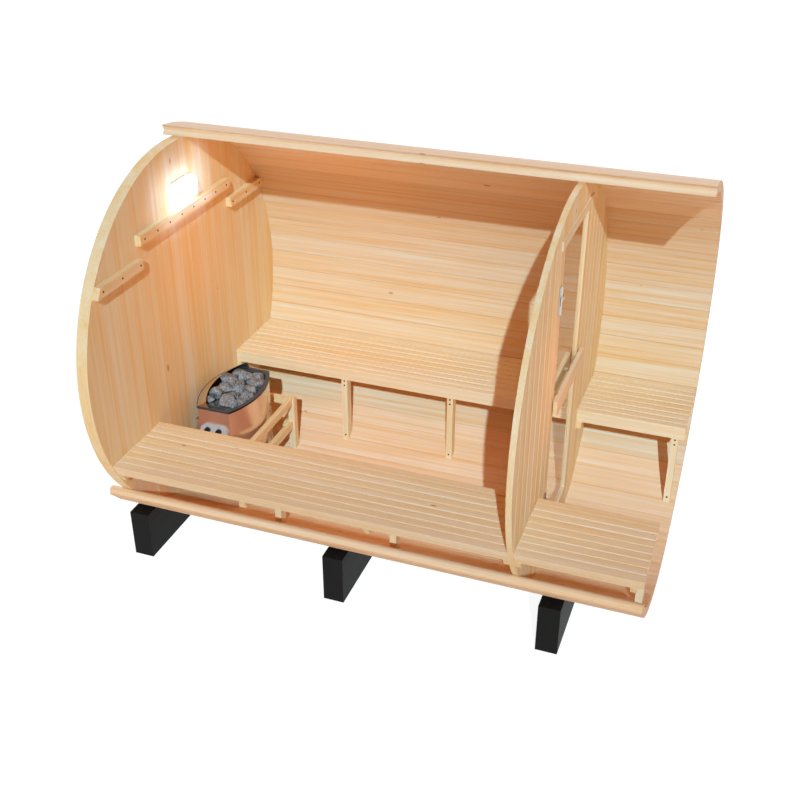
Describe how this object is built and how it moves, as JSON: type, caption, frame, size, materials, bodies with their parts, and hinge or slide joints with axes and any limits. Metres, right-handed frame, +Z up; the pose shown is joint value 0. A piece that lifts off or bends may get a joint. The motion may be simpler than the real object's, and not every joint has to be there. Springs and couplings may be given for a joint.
{
  "type": "barrel sauna",
  "caption": "Barrel sauna of beaded staves on cradles with an open porch, glass door, slatted benches and stone heater, the near staves left off to show the inside.",
  "frame": {"origin": "on the ground, under the middle of the middle cradle", "axes": "+X along the barrel from the rear wall to the porch, +Y towards the closed side of the barrel, +Z up"},
  "size_m": [2.787, 2.048, 2.1447],
  "materials": {
    "black_stained_timber": "black stain, satin",
    "stave_wood": "planed, bare",
    "wall_boards": "planed, bare",
    "bench_wood": "planed, bare",
    "lamp_white": "moulded, gloss",
    "lamp_opal": "opal, lit",
    "polished_steel": "polished",
    "control_chrome": "polished",
    "grey_steel": "grey enamel, satin",
    "stove_stone": "rough split stone",
    "black_plastic": "moulded, matt",
    "door_glass": "clear, polished edges",
    "hinge_steel": "brushed"
  },
  "bodies": {
    "sauna": {"cradle_rear": "black_stained_timber", "cradle_middle": "black_stained_timber", "cradle_front": "black_stained_timber", "roof_staves": "stave_wood", "upper_back_staves": "stave_wood", "lower_back_staves": "stave_wood", "back_floor_staves": "stave_wood", "front_floor_staves": "stave_wood", "rear_wall": "wall_boards", "partition_near": "wall_boards", "partition_far": "wall_boards", "partition_over_door": "wall_boards", "partition_under_door": "wall_boards", "door_jamb_near": "bench_wood", "door_jamb_far": "bench_wood", "door_header": "bench_wood", "door_sill": "bench_wood", "rear_wall_battens": "bench_wood", "near_bench": "bench_wood", "far_bench": "bench_wood", "porch_near_bench": "bench_wood", "porch_far_bench": "bench_wood", "room_bench_legs": "bench_wood", "room_bench_rails": "bench_wood", "porch_bench_legs": "bench_wood", "porch_bench_rails": "bench_wood", "rear_ledgers": "bench_wood", "partition_ledgers": "bench_wood", "porch_ledgers": "bench_wood", "guard_posts": "bench_wood", "guard_rails": "bench_wood", "lamp_base": "lamp_white", "lamp_shade": "lamp_opal", "heater_casing": "polished_steel", "heater_panel": "control_chrome", "heater_rim": "grey_steel", "heater_bracket": "grey_steel", "heater_stones": "stove_stone", "jamb_hinges": "hinge_steel"},
    "door": {"door_glass": "door_glass", "door_handle_outside": "bench_wood", "door_handle_inside": "bench_wood", "door_hinges": "hinge_steel"},
    "left_knob": {"heater_knob_left": "black_plastic"},
    "right_knob": {"heater_knob_right": "black_plastic"}
  },
  "joints": [
    {"name": "door_hinge", "type": "hinge", "parent": "sauna", "child": "door", "pos_m": [0.976, -0.29, 1.1], "axis": [0, 0, -1], "range_deg": [0, 90]},
    {"name": "left_knob_turn", "type": "hinge", "parent": "sauna", "child": "left_knob", "pos_m": [-0.9285, -0.262, 0.574], "axis": [0, -1, 0], "range_deg": [0, 300]},
    {"name": "right_knob_turn", "type": "hinge", "parent": "sauna", "child": "right_knob", "pos_m": [-0.8605, -0.262, 0.574], "axis": [0, -1, 0], "range_deg": [0, 300]}
  ]
}
